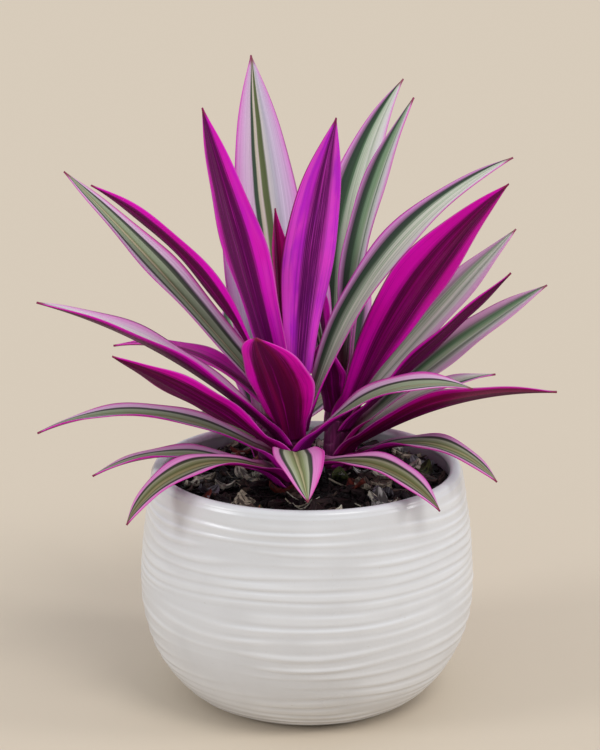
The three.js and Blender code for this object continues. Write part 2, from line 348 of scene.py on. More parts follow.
# the midrib: a line whose steps add up along its bearing
def leafMidrib(tree, n):
    steps = blade["midribSteps"]
    index = Number(tree, tree.nodes.new("GeometryNodeInputIndex").outputs[0])
    tilt, turn = leafBearing(n, index / steps * n["Length"])
    stride = n["Length"] / steps
    step = combine(tilt.sin() * turn.cos() * stride, tilt.sin() * turn.sin() * stride,
                   tilt.cos() * stride)
    added = addNode(tree, "GeometryNodeAccumulateField", data_type="FLOAT_VECTOR")
    tree.links.new(step, added.inputs[0])
    line = addNode(tree, "GeometryNodeMeshLine", {"Count": steps + 1})
    return putPoints(tree, line.outputs[0], added.outputs["Trailing"])


# how far a point of the section lies beside the midrib and above it
def leafSection(n, bow, share, across, face):
    along = share * n["Length"]
    swelling = mix(blade["neck"], 1, share.ease(0, blade["widest"]))
    past = ((share - blade["widest"]) / (1 - blade["widest"])).most(0)
    outline = (swelling - past ** n["Fullness"]) * n["Width"] / 2
    opened = along.ease(0, blade["claspRun"])
    halfWidth = mix(bow * math.radians(blade["clasp"]), outline.most(blade["tipHalfWidth"]), opened)
    curl = mix(blade["clasp"], n["Cup"] * (1 - blade["cupLoss"] * share), opened).radians()
    curve = halfWidth / curl

    # thickness, rounded off at the edges
    width = abs(across)
    thick = mix(blade["midThickness"], blade["edgeThickness"], width)
    rounded = ((1 - width) * blade["edgeRounding"]).clamp() ** 0.5
    depth = curve - (face * 2 - 1) * thick * rounded / 2
    lateral = depth * (across * curl).sin()
    lift = curve - depth * (across * curl).cos()

    # a crease along the midrib and slow waves along the edges
    middle = (share * (1 - share) * 4).least(1)
    narrowed = (1 - width * blade["keelNarrowness"]).most(0) ** 2
    crease = narrowed * blade["keel"] * opened * middle
    phase = share * blade["rippleTurn"] + n["Seed"] * 5 + across * 1.5
    wave = phase.sin() * (width ** 2) * blade["ripple"] * middle * opened
    return lateral, lift - crease + wave


def leafTree():
    sizes = dict.fromkeys(("Stem Radius", *leafSizes, "Seed"), 1.0)
    tree, n = newTree("strapLeaf", {"Base": (0.0, 0.0, 0.0), **sizes})
    bow = n["Stem Radius"] + (blade["gap"] + blade["midThickness"] / 2)
    midrib = leafMidrib(tree, n)

    # a closed tube that becomes the blade: its height runs along, its angle runs round the edge
    shell, (x, y, z) = newTube(tree, blade)
    angle = arctan2(y, x)
    across = (1 - abs(angle) * (2 / math.pi)) * blade["edgeReach"]
    shell = store(tree, shell, {"along": z + 0.5, "across": across, "upper": angle.over(0)})
    shell = store(tree, shell, {size.lower(): n[size] for size in ("Seed", *leafSizes[-4:])})

    # read back, as those of a turning tube are
    share, across, face = storedNumbers(tree, "along", "across", "upper")
    along = share * n["Length"]
    tilt, turn = leafBearing(n, along)
    station = (share * blade["midribSteps"] + 0.5).floor()
    found = addNode(tree, "GeometryNodeSampleIndex", {
        "Geometry": midrib, "Value": pointPlace(tree), "Index": station},
        data_type="FLOAT_VECTOR")
    centre = separate(tree, found.outputs[0])
    lateral, lift = leafSection(n, bow, share, across, face)

    # directions of the section, rolled about the leaf's own length
    sectionTilt = tilt * along.ease(0, blade["bendRun"])
    roll = n["Roll"].radians() * share.ease(0, blade["rollRun"])
    side = (-turn.sin(), turn.cos(), turn * 0)
    up = (-(sectionTilt.cos() * turn.cos()), -(sectionTilt.cos() * turn.sin()), sectionTilt.sin())
    rolledSide = [s * roll.cos() + u * roll.sin() for s, u in zip(side, up)]
    rolledUp = [u * roll.cos() - s * roll.sin() for s, u in zip(side, up)]
    x, y, z = (c + s * lateral + u * lift for c, s, u in zip(centre, rolledSide, rolledUp))
    x = x + bow

    # turned to its heading, and up on its stem
    heading = n["Heading"].radians()
    baseX, baseY, baseZ = separate(tree, n["Base"])
    final = combine(x * heading.cos() - y * heading.sin() + baseX,
                    x * heading.sin() + y * heading.cos() + baseY, z + baseZ)
    endTree(tree, n, shadeSmooth(tree, putPoints(tree, shell, final)))
    return tree


# the upper face is striped green, cream and lilac; the underside is magenta with a dark middle
leafLook = {
    "striped": [  # from the middle out
        (0.00, 0.44, 0.38, 0.26), (0.05, 0.34, 0.32, 0.17), (0.11, 0.13, 0.145, 0.062),
        (0.19, 0.22, 0.25, 0.12), (0.30, 0.33, 0.36, 0.23), (0.41, 0.40, 0.41, 0.31),
        (0.46, 0.085, 0.10, 0.065), (0.60, 0.040, 0.042, 0.038), (0.65, 0.24, 0.15, 0.22),
        (0.69, 0.64, 0.46, 0.60), (0.85, 0.68, 0.40, 0.62), (0.94, 0.66, 0.12, 0.44),
        (1.00, 0.50, 0.02, 0.26)],
    "green": [  # from one edge to the other
        (0.00, 0.62, 0.14, 0.48), (0.04, 0.62, 0.26, 0.56), (0.10, 0.30, 0.14, 0.26),
        (0.15, 0.035, 0.050, 0.040), (0.27, 0.045, 0.085, 0.045), (0.36, 0.12, 0.24, 0.12),
        (0.45, 0.20, 0.32, 0.17), (0.50, 0.52, 0.56, 0.48), (0.54, 0.14, 0.26, 0.14),
        (0.61, 0.07, 0.12, 0.075), (0.67, 0.40, 0.44, 0.38), (0.76, 0.62, 0.60, 0.62),
        (0.87, 0.72, 0.50, 0.68), (0.96, 0.74, 0.30, 0.62), (1.00, 0.66, 0.14, 0.48)],
    "pale": [  # from one edge to the other
        (0.00, 0.62, 0.12, 0.46), (0.04, 0.70, 0.30, 0.64), (0.14, 0.68, 0.44, 0.68),
        (0.25, 0.66, 0.48, 0.64), (0.28, 0.05, 0.08, 0.055), (0.345, 0.045, 0.075, 0.045),
        (0.37, 0.56, 0.50, 0.40), (0.42, 0.64, 0.54, 0.52), (0.445, 0.14, 0.17, 0.075),
        (0.525, 0.11, 0.14, 0.06), (0.55, 0.62, 0.58, 0.58), (0.63, 0.50, 0.47, 0.56),
        (0.72, 0.68, 0.56, 0.74), (0.86, 0.70, 0.44, 0.72), (0.96, 0.70, 0.26, 0.64),
        (1.00, 0.62, 0.12, 0.46)],
    "pink": (0.66, 0.15, 0.47),  # the margins of a warm striped face
    "cream": (0.76, 0.75, 0.65),
    "blush": (0.76, 0.42, 0.65),  # what the margins of a warm green face turn to
    "sage": (0.27, 0.33, 0.215),
    "dusk": (0.42, 0.33, 0.24),  # what darkens the least pale leaves between their margins
    "streakAbove": (0.50, 0.46, 0.52),  # what the darker streaks multiply, above and below
    "streakBelow": (0.38, 0.5, 0.50),
    "foot": (0.20, 0.025, 0.085),  # painted shade in a dark purple, where the upper face nears the stem
    "violet": (0.56, 0.025, 0.74),
    "orchid": (0.82, 0.085, 0.78),
    "magenta": (0.76, 0.002, 0.52),
    "crimson": (0.52, 0.003, 0.13),
    "purpleDeep": (0.085, 0.001, 0.085),
    "maroonDeep": (0.072, 0.0005, 0.024),
    "rim": (0.74, 0.12, 0.56),
    "tip": (0.22, 0.020, 0.045),
    "roughness": 0.42,
    "specular": 0.07,
    "bump": 0.25 * mm,
    "bumpStrength": 0.7,
}


# what the faces are coloured by: the leaf's stored numbers, noises that run along it, and the
# place of its stripes, which wander and sit off centre by a different amount in each leaf
def leafNumbers(tree):
    names = ("along", "across", "upper", "seed", "pale", "dark", "warm", "half")
    leaf = SimpleNamespace(**dict(zip(names, readAttributes(tree, *names))))
    along, across, seed = leaf.along, leaf.across, leaf.seed
    leaf.streak = noiseAt(across * 14, along * 1.3, seed * 9.1, detail=4.0, roughness=0.65)
    leaf.fine = noiseAt(across * 44, along * 2.6, seed * 4.7)
    leaf.blotch = noiseAt(across * 2.4, along * 7.0, seed * 3.1)
    leaf.bands = noiseAt(across * 2.2, along * 0.6, seed * 13.7)
    leaf.edge = abs(across)
    leaf.inner = 1 - leaf.edge ** 3
    wander = noiseAt(along * 2.4, seed * 7.3, 0.0)
    shift = (seed * 2.7).sin() * 0.15 + leaf.half * 0.35 + wander.swing(0.2)
    leaf.place = across + shift * leaf.inner
    return leaf


# stripes from the middle out, with pinker margins on a warm leaf and more green on a cool one
def stripedFace(leaf):
    ragged = abs(leaf.place) + (leaf.bands.swing(0.34) + leaf.streak.swing(0.14)) * leaf.inner
    colour = ramp(ragged, leafLook["striped"])
    margin = ragged.ease(0.60, 0.70) * ragged.fade(0.90, 0.97) * leaf.warm.ease(0.42, 0.8)
    colour = blend(margin * 0.75, colour, leafLook["pink"])
    sage = (0.72 - leaf.warm).ease(0.0, 0.3) * ragged.fade(0.40, 0.46) * ragged.ease(0.05, 0.2)
    colour = blend(sage * 0.8, colour, leafLook["sage"])
    dusk = (1 - leaf.pale * 2.6).most(0) * ragged.fade(0.56, 0.70) * 0.85
    return blend(dusk, colour, leafLook["dusk"], "MULTIPLY")


# the green face, washed with cream the paler it is, and the pale one: stripes from edge to edge
def greenAndPaleFaces(leaf):
    mirror = 1 - leaf.half.over(0) * 2
    spread = leaf.place * mirror * 0.5 + 0.5
    drift = (leaf.bands.swing(0.24) + leaf.streak.swing(0.09)) * leaf.inner
    green = ramp(spread + drift, leafLook["green"])
    wash = (leaf.pale * 5 - 3.05).most(0) * (spread + drift * 2).ease(0.26, 0.44)
    wash = wash * (spread + drift).fade(0.78, 0.92) * mix(0.5, 1, leaf.streak.ease(0.40, 0.56))
    green = blend(wash, green, leafLook["cream"])
    blush = leaf.edge.ease(0.35, 0.75) * leaf.edge.fade(0.93, 1.0) * leaf.warm.ease(0.6, 0.85)
    green = blend(blush * 0.8, green, leafLook["blush"])
    return green, ramp(spread + drift * 0.3, leafLook["pale"])


def upperFace(leaf):
    green, pale = greenAndPaleFaces(leaf)
    colour = blend(leaf.pale.over(0.5), stripedFace(leaf), green)
    colour = blend(leaf.pale.over(0.8), colour, pale)
    streaks = leaf.fine.ease(0.42, 0.70) * 0.30 + leaf.streak.ease(0.52, 0.72) * 0.25
    colour = blend(streaks, colour, leafLook["streakAbove"], "MULTIPLY")
    # painted shade: darker purple toward the stem, where the leaves crowd round it
    foot = (leaf.along + leaf.streak.swing(0.12)).fade(0.03, 0.24)
    return blend(foot * 0.85, colour, leafLook["foot"])


# bright margins, a dark band between them, and streaks in both
def lowerFace(leaf):
    edge, warm, streak, blotch = leaf.edge, leaf.warm, leaf.streak, leaf.blotch
    reach = edge + streak.swing(0.34) + leaf.across * leaf.half * 0.6 + blotch.swing(0.14)
    limit = mix(0.16, 0.92, leaf.dark)
    band = reach.fade(limit - 0.13, limit + 0.12)
    band = band * mix(streak.ease(0.34, 0.52), 1, leaf.dark.ease(0.25, 0.6))
    cool = (leaf.bands + blotch.swing(0.5)).ease(0.38, 0.6)
    bright = blend(cool, leafLook["violet"], leafLook["orchid"])
    red = (warm * 2 + blotch.swing(0.8)).clamp()
    bright = blend(red, bright, leafLook["magenta"])
    redder = (warm * 2 - 1.2 + blotch.swing(0.6)).clamp()
    bright = blend(redder, bright, leafLook["crimson"])
    streaks = streak.fade(0.34, 0.50) * 0.5
    bright = blend(streaks, bright, leafLook["streakBelow"], "MULTIPLY")
    hue = (1.1 - warm * 1.3 + streak.swing(1.8)).clamp()
    deep = blend(hue, leafLook["maroonDeep"], leafLook["purpleDeep"])
    deep = blend(streak.ease(0.55, 0.72) * 0.42, deep, bright)
    glow = leaf.bands.ease(0.5, 0.66) * warm.ease(0.6, 0.85) * 0.5
    deep = blend(glow, deep, leafLook["crimson"])
    colour = blend(band * 0.97, bright, deep)
    # painted shade: the underside turns to its deep colour toward the stem
    colour = blend(leaf.along.fade(0.0, 0.28) * 0.5, colour, deep)
    return blend(edge.ease(0.93, 0.985) * 0.7, colour, leafLook["rim"])


def leafMaterial():
    material, tree, shader = newMaterial("leafBlade")
    leaf = leafNumbers(tree)

    # a leaf with a pale below 0 is flushed: its upper face has the colours of its underside too
    above = leaf.upper.over(0.5) * leaf.pale.over(-0.001)
    colour = blend(above, lowerFace(leaf), upperFace(leaf))
    tip = (leaf.along + leaf.streak.swing(0.02)).ease(0.962, 0.99)
    colour = blend(tip * 0.85, colour, leafLook["tip"])
    dress(tree, shader, leafLook, colour, leaf.streak + leaf.fine * 0.6)
    return material


# the numbers in a leaf's row. Pale is for its upper face: below 0 flushed, to 0.5 striped, to 0.8
# green, over that pale. Dark and Warm are for its lower face: how dark, and how red, from violet
# at 0 to crimson at 1, though a warm leaf has pinker margins above too. Half says which half is
# the brighter below; it also shifts the stripes above, and turns them round if it is over 0
leafSizes = ("Heading", "Lean", "Arch", "Sway", "Roll", "Length", "Width", "Cup", "Fullness",
             "Pale", "Dark", "Warm", "Half")

# each rosette: where its stem stands, its girth, and its leaves from the lowest to the youngest
rosettes = {
    "main": {
        "place": (-7, -14), "radius": 8, "topRadius": 1.6,
        "firstLeaf": 113.5, "spacing": 3, "openLeaves": 13, "uprightSpacing": 4.8,
        "leaves": [
            [173, 72, 51, 0, 0, 96, 19, 36, 1.8, 0.35, 0.5, 0.6, 0.0],
            [-149, 66, 81, 0, 0, 94, 25, 30, 1.8, 0.1, 0.5, 0.75, 0.0],
            [-38, 69, 64, 0, 0, 86, 24, 30, 1.8, 0.1, 0.5, 0.7, 0.0],
            [169, 65, 54, 0, 0, 128, 24, 34, 1.8, 0.35, 0.5, 0.5, 0.0],
            [-87, 61, 91, 12, 0, 64, 25, 30, 1.8, 0.4, 0.4, 0.9, 0.0],
            [-155, 53, 8, 0, 32, 104, 24, 32, 1.8, 0.3, 0.8, 0.7, 0.2],
            [-21, 44, 56, 0, 14, 97, 22, 36, 1.8, 0.4, 0.7, 0.4, 0.0],
            [-166, 46, 27, 0, 0, 141, 30, 56, 1.8, 0.7, 0.9, 0.6, 0.1],
            [-105, 33, -1, -24, 0, 70, 37, 44, 4, 0.3, 0.6, 0.72, -0.2],
            [12, 18, 46, -9, 14, 170, 30, 42, 1.8, 0.79, 0.7, 0.5, 0.1],
            [155, 52, 54, 4, 6, 100, 25, 30, 1.8, -0.1, 0.2, 0.7, 0.0],
            [147, 48, 8, 0, 0, 169, 27, 32, 1.8, 0.45, 0.6, 0.3, -0.6],
            [157, 28, 43, -6, 50, 150, 22, 28, 1.8, 0.3, 0.75, 0.65, 0.4],
            [-133, 19, 1, 0, 0, 162, 31, 22, 1.8, 0.5, 0.52, 0.38, 0.4],
            [-66, 9, 19, 0, 0, 151, 28, 24, 1.8, 0.5, 0.3, 0.12, -0.2],
            [122, 16, -9, 0, 0, 160, 36, 24, 1.8, 1.0, 0.5, 0.3, 0.2],
            [-140, 5, 0, 0, 0, 85, 17, 50, 1.8, -0.1, 0.35, 0.95, 0.0],
        ],
    },
    "right": {
        "place": (15, 17), "radius": 7.5, "topRadius": 1.6,
        "firstLeaf": 114, "spacing": 3.1, "openLeaves": 10, "uprightSpacing": 4.8,
        "leaves": [
            [-36, 61, 65, 0, 0, 93, 23, 34, 1.8, 0.3, 0.5, 0.65, 0.0],
            [62, 78, 38, 0, 0, 104, 24, 34, 1.8, 0.3, 0.4, 0.5, 0.0],
            [-31, 56, 29, 0, -18, 124, 30, 46, 1.8, 0.6, 0.9, 0.75, 0.0],
            [17, 58, 32, 0, 0, 84, 19, 36, 1.8, 0.76, 0.7, 0.5, 0.0],
            [7, 49, 10, 0, 16, 124, 27, 34, 1.8, 0.66, 0.6, 0.85, 0.1],
            [84, 46, 30, 0, 0, 128, 25, 34, 1.8, 0.7, 0.4, 0.5, 0.0],
            [-14, 45, -2, 0, -22, 115, 20, 34, 1.8, 0.3, 0.95, 0.6, 0.0],
            [20, 44, 3, 0, 16, 127, 25, 34, 1.8, 0.72, 0.5, 0.85, 0.1],
            [-47, 29, 23, 0, -35, 171, 29, 26, 1.5, 0.5, 0.46, 0.66, -0.3],
            [-118, 16, 4, 0, 0, 40, 20, 36, 1.8, 0.3, 0.8, 0.6, 0.0],
            [88, 16, 32, -44, 0, 174, 27, 30, 1.8, 0.73, 0.4, 0.4, 0.1],
            [130, 17, 12, 0, 0, 116, 22, 34, 1.8, 1.0, 0.5, 0.5, 0.1],
            [22, 3, 27, 0, 0, 147, 30, 30, 1.8, 0.64, 0.4, 0.4, 0.1],
            [-165, 9, 4, 0, 0, 84, 17, 40, 1.8, 0.6, 0.5, 0.5, 0.0],
        ],
    },
    "back": {
        "place": (-18, 22), "radius": 7, "topRadius": 1.6,
        "firstLeaf": 114, "spacing": 3.2, "openLeaves": 5, "uprightSpacing": 5.2,
        "leaves": [
            [118, 80, 30, 0, 0, 84, 23, 34, 1.8, 0.1, 0.4, 0.6, 0.0],
            [66, 74, 36, 0, 0, 100, 25, 34, 1.8, 0.3, 0.5, 0.4, 0.0],
            [104, 54, 30, 0, 0, 112, 25, 34, 1.8, 0.7, 0.3, 0.3, 0.1],
            [84, 36, 26, 0, 0, 128, 25, 32, 1.8, 0.4, 0.4, 0.5, 0.0],
            [110, 20, 16, 0, 0, 136, 26, 30, 1.8, 0.9, 0.2, 0.3, -0.1],
        ],
    },
}
stemWaist = 0.72


def leafHeight(rosette, index):
    opened = min(index, rosette["openLeaves"])
    upright = max(0, index - rosette["openLeaves"])
    return rosette["firstLeaf"] + opened * rosette["spacing"] + upright * rosette["uprightSpacing"]


def stemRadius(rosette, height):
    shoulder = leafHeight(rosette, rosette["openLeaves"])
    top = leafHeight(rosette, len(rosette["leaves"]))
    waist = rosette["radius"] * stemWaist
    if height <= rosette["firstLeaf"]:
        return rosette["radius"]
    if height <= shoulder:
        share = (height - rosette["firstLeaf"]) / (shoulder - rosette["firstLeaf"])
        return mix(rosette["radius"], waist, share)
    return mix(waist, rosette["topRadius"], min(1, (height - shoulder) / (top - shoulder)))


# how far a piece's box is off the box of the node that it stands for
def boxError(piece, node):
    spans = zip(*(vertex.co for vertex in piece.data.vertices))
    return max(max(abs(min(span) - low), abs(max(span) - high))
               for span, low, high in zip(spans, *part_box(node)))


def addLeaves():
    tree = leafTree()
    material = leafMaterial()
    worst = 0
    for rosetteName, rosette in rosettes.items():
        for index, row in enumerate(rosette["leaves"]):
            height = leafHeight(rosette, index)
            values = dict(zip(leafSizes, map(float, row)))
            values["Length"] *= mm
            values["Width"] *= mm
            values["Base"] = tuple(v * mm for v in (*rosette["place"], height))
            values["Stem Radius"] = stemRadius(rosette, height) * mm
            values["Seed"] = index + 0.37 * len(rosetteName)  # one for each leaf of a rosette
            number = f"{index + 1:02d}"
            node = f"{rosetteName}_leaf_{number}"
            piece = grow(f"{rosetteName}Leaf{number}", tree, values, material)
            seat(piece, node)
            worst = max(worst, boxError(piece, node))
    print(f"leaves done, {worst / mm:.1f} mm off their nodes' boxes at most")


addLeaves()

# the pot is thrown: one wall from foot to rim, with rings left by the fingers
pot = {
    "Height": 119 * mm,
    "Belly Radius": 82.5 * mm,
    "Belly Height": 59 * mm,
    "Rim Radius": 76.3 * mm,
    "Foot Radius": 42 * mm,
    "Wall": 6 * mm,
    "Floor": 9 * mm,
    "Belly Power": 1.9,
    "Shoulder Power": 1.6,
    "Ring Pitch": 5.4 * mm,
    "Ring Depth": 0.6 * mm,
    "Plain Foot": 7 * mm,
    "Plain Rim": 5 * mm,
    "Seed": 4.0,
}
potMesh = {
    "around": 280,
    "stations": 330,
    "outsideEnd": 0.62,  # shares of the stations: up the outside to here,
    "lipEnd": 0.67,  # over the lip to here, then down the inside
    "curveOutside": 0.56,  # shares of the way up that lie below the belly
    "curveInside": 0.5,
}


# a bowl's outline, climbed from 0 to 1: up to curveShare it curves out to the belly, then it leans
# in. Foot and belly are a radius and a height, shoulder is the way on from the belly, and reach
# the part of it that is climbed
def bowlOutline(climb, curveShare, foot, belly, shoulder, bellyPower, shoulderPower, reach=1):
    turn = (climb / curveShare).least(1) * (math.pi / 2)
    rise = ((climb - curveShare) / (1 - curveShare)).most(0) * reach
    power = 2 / bellyPower
    radius = mix(foot[0], belly[0], turn.sin().most(0) ** power)
    height = belly[1] - (belly[1] - foot[1]) * turn.cos().most(0) ** power
    return radius + shoulder[0] * rise ** shoulderPower, height + shoulder[1] * rise


def potTree():
    tree, n = newTree("thrownPot", pot)
    shell, run, easting, northing = turningTube(tree, potMesh)
    outsideEnd, lipEnd = potMesh["outsideEnd"], potMesh["lipEnd"]
    outside = (run / outsideEnd).least(1)
    overLip = (run - outsideEnd) / (lipEnd - outsideEnd)
    inside = (run - lipEnd) / (1 - lipEnd)
    halfWall = n["Wall"] / 2
    lipFoot = n["Height"] - halfWall
    shoulder = (n["Rim Radius"] - n["Belly Radius"], n["Height"] - n["Belly Height"])
    reach = (lipFoot - n["Belly Height"]) / shoulder[1]

    def wallAt(climb, curveShare, floor, wall):
        return bowlOutline(climb, curveShare, (n["Foot Radius"] - wall, floor),
                           (n["Belly Radius"] - wall, n["Belly Height"]), shoulder,
                           n["Belly Power"], n["Shoulder Power"], reach)

    outRadius, outHeight = wallAt(outside, potMesh["curveOutside"], 0.0, 0.0)
    inRadius, inHeight = wallAt(1 - inside.clamp(), potMesh["curveInside"], n["Floor"], n["Wall"])
    lip = overLip.clamp() * math.pi
    lipRadius = n["Rim Radius"] - halfWall + halfWall * lip.cos()
    lipHeight = lipFoot + halfWall * lip.sin()
    onLip, onInside = overLip.over(0), inside.over(0)
    radius = mix(mix(outRadius, lipRadius, onLip), inRadius, onInside)
    height = mix(mix(outHeight, lipHeight, onLip), inHeight, onInside)
    turned = putPoints(tree, shell, combine(easting * radius, northing * radius, height))

    # the rings: uneven in pitch and depth, and wandering a little round the pot
    length = n["Height"] + 20 * mm  # of the outline, which is curved
    along = outside * length
    drift = noiseAt(easting * 0.7, northing * 0.7, along * 38 + n["Seed"], detail=1.0)
    strength = noiseAt(easting * 1.5, northing * 1.5, along * 75 + n["Seed"] * 2, detail=1.0)
    faint = noiseAt(easting * 1.1, northing * 1.1, along * 9 + n["Seed"] * 3, detail=0.0)
    phase = (along / n["Ring Pitch"] + drift * 2.6) * (2 * math.pi)
    wave = phase.sin() * 0.5 + (phase * 1.9 + 1).sin() * 0.2 + 0.5
    plain = along.ease(n["Plain Foot"] * 0.4, n["Plain Foot"])
    plain = plain * (length - along).ease(n["Plain Rim"] * 0.4, n["Plain Rim"] * 1.6)
    relief = wave * strength.ease(0.2, 0.8) * plain * (1 - onLip) * mix(0.3, 1, faint.ease(0.2, 0.5))
    normal = tree.nodes.new("GeometryNodeInputNormal").outputs[0]
    push = addNode(tree, "ShaderNodeVectorMath",
                   {"Vector": normal, "Scale": relief * n["Ring Depth"]}, operation="SCALE")
    marked = store(tree, turned, {"relief": relief})
    ringed = putPoints(tree, marked, push.outputs[0], "Offset")
    endTree(tree, n, shadeSmooth(tree, ringed))
    return tree


glaze = {
    "thick": (0.70, 0.705, 0.725),
    "thin": (0.56, 0.56, 0.575),  # painted shade: greyer in the grooves, where the rings fade, over the lip and down the inside; the glaze's clouds use it too
    "speck": (0.50, 0.46, 0.42),
    "bisque": (0.50, 0.42, 0.34),  # the unglazed foot
    "bisqueTop": 0.6 * mm,
    "roughness": 0.19,  # at its clearest
    "cloudRoughness": 0.12,  # what clouds and the bare foot add to it
    "footRoughness": 0.6,
    "specular": 0.5,
    "bump": 0.12 * mm,
    "bumpStrength": 0.35,
}


def glazeMaterial():
    material, tree, shader = newMaterial("whiteGlaze")
    x, y, z = objectPlace(tree)
    [relief] = readAttributes(tree, "relief")
    cloud = noiseAt(x, y, z, scale=38.0, detail=3.0)
    peel = noiseAt(x, y, z, scale=420.0, detail=1.0)
    speck = noiseAt(x, y, z, scale=900.0, detail=0.0)
    # grey where the relief is low: painted shade in the grooves, the same grey over the plain bands,
    # the lip and the inside; the clouds add the glaze's own mottling
    thin = relief.fade(0.0, 0.42) * 0.45 + cloud.ease(0.35, 0.75) * 0.25
    colour = blend(thin.least(1), glaze["thick"], glaze["thin"])
    colour = blend(speck.ease(0.82, 0.88) * 0.35, colour, glaze["speck"])
    foot = z.fade(glaze["bisqueTop"] / 3, glaze["bisqueTop"])
    colour = blend(foot, colour, glaze["bisque"])
    dress(tree, shader, glaze, colour, peel + cloud * 2)
    clouded = foot * glaze["footRoughness"] + cloud * glaze["cloudRoughness"]
    plug(tree, shader.inputs["Roughness"], clouded + glaze["roughness"])
    return material


def addPot():
    piece = grow("thrownPot", potTree(), pot, glazeMaterial())
    seat(piece, "pot")
    print("pot done,", len(piece.data.polygons), "faces")


addPot()

# the potting mix: a dark uneven mass, strewn with bark chips, crumbs and fibres
mixBody = {
    "Top": 109.5 * mm,
    "Crown": 3 * mm,
    "Bump": 1.1 * mm,
    "Grain": 0.9 * mm,
    "Edge Radius": 71.2 * mm,
    "Foot Radius": 35.6 * mm,
    "Belly Radius": 76 * mm,
    "Foot": 9.3 * mm,
    "Seed": 2.0,
}
mixMesh = {
    "around": 230,
    "stations": 84,
    "sideEnd": 0.2,  # of the stations: up the side to here, then in over the top
    "curve": 0.5,  # of the way up the side, below the belly
    "reachIn": 0.985,  # of the way to the middle, which the last ring of faces closes
}
# density counts pieces a square metre, and tilt is in degrees; sizes, curl and proud, which is
# the height above the mix, are in mm
strewn = {
    "husks": dict(density=5600.0, least=(9, 5, 2.0), most=(18, 9, 3.4), tilt=15, curl=4.5,
                  proud=1.2, tones=(0.52, 1.0), seed=3),
    "chips": dict(density=17000.0, least=(6, 3, 1.4), most=(14, 6, 2.6), tilt=24, curl=2.0,
                  proud=0.2, tones=(0.02, 0.66), seed=20),
    "bits": dict(density=30000.0, least=(3, 2, 1.0), most=(7, 4, 2.2), tilt=45, curl=0.8,
                 proud=0, tones=(0.02, 0.64), seed=8),
    "crumbs": dict(density=110000.0, least=(0.8, 0.8, 0.6), most=(2.2, 2.0, 1.6), tilt=90, curl=0,
                   proud=0, tones=(0.02, 0.5), seed=5),
    "fibres": dict(density=7000.0, least=(9, 0.6, 0.5), most=(24, 1.2, 0.9), tilt=14, curl=4.0,
                   proud=0.5, tones=(0.3, 0.88), seed=12),
}
strewnEdge = 4 * mm  # bare, along the wall
chipJag = 0.35  # of a piece's greatest thickness
holeRoom = 0.6  # mm round a stem
stemHoles = [(rosette["place"], rosette["radius"] + holeRoom) for rosette in rosettes.values()]


# slow waves of the top of the mix, in a tree or for plain numbers
def mixWaves(x, y, sine=math.sin, cosine=math.cos):
    east, north, across = 7 * mm, 9 * mm, 4.3 * mm
    return sine(x / east + 1.3) * cosine(y / north - 0.4) + 0.5 * sine((x + y) / across)


def mixLevel(n, x, y):
    share = ((x * x + y * y) ** 0.5 / n["Edge Radius"]).least(1)
    uneven = mixWaves(x, y, Number.sin, Number.cos)
    grain = noiseAt(x, y, n["Seed"], scale=260.0, detail=3.0, roughness=0.7)
    heap = n["Crown"] * (1 - share * share) + n["Bump"] * uneven * (1 - share ** 4)
    return n["Top"] + heap + grain.swing(2) * n["Grain"] * (1 - share ** 12)


# a flat block of bark with narrow ends and thin sides
def chipShape(tree, long, wide):
    block = addNode(tree, "GeometryNodeMeshCube", {
        "Size": (1.0, 1.0, 1.0), "Vertices X": long, "Vertices Y": wide, "Vertices Z": 2})
    x, y, z = separate(tree, pointPlace(tree))
    marked = store(tree, block.outputs["Mesh"], {"lengthwise": x * 2, "crosswise": y * 2})
    narrowing = 1 - 0.75 * (abs(x) * 2) ** 3
    thinning = 1 - 0.5 * (abs(y) * 2) ** 2
    return putPoints(tree, marked, combine(x, y * narrowing, z * thinning))


def crumbShape(tree):
    ball = addNode(tree, "GeometryNodeMeshIcoSphere", {"Radius": 0.5, "Subdivisions": 1})
    return store(tree, ball.outputs["Mesh"], {"lengthwise": 0.0, "crosswise": 0.0})


# the node's sockets for a vector and for a number have the same names, so they go by their places
def randomIn(tree, least, most, seed, kind="FLOAT"):
    node = addNode(tree, "FunctionNodeRandomValue", {"Seed": seed}, data_type=kind)
    first, second, out = (0, 1, 0) if kind == "FLOAT_VECTOR" else (2, 3, 1)
    plug(tree, node.inputs[first], least)
    plug(tree, node.inputs[second], most)
    return node.outputs[out]


# 1 or more where a point comes within a distance of a stem's hole, 0 elsewhere
def nearStems(x, y, room):
    near = x * 0
    for (stemX, stemY), radius in stemHoles:
        apart = ((x - stemX * mm) ** 2 + (y - stemY * mm) ** 2) ** 0.5
        near = near + (1 - apart.over((radius + room) * mm))
    return near


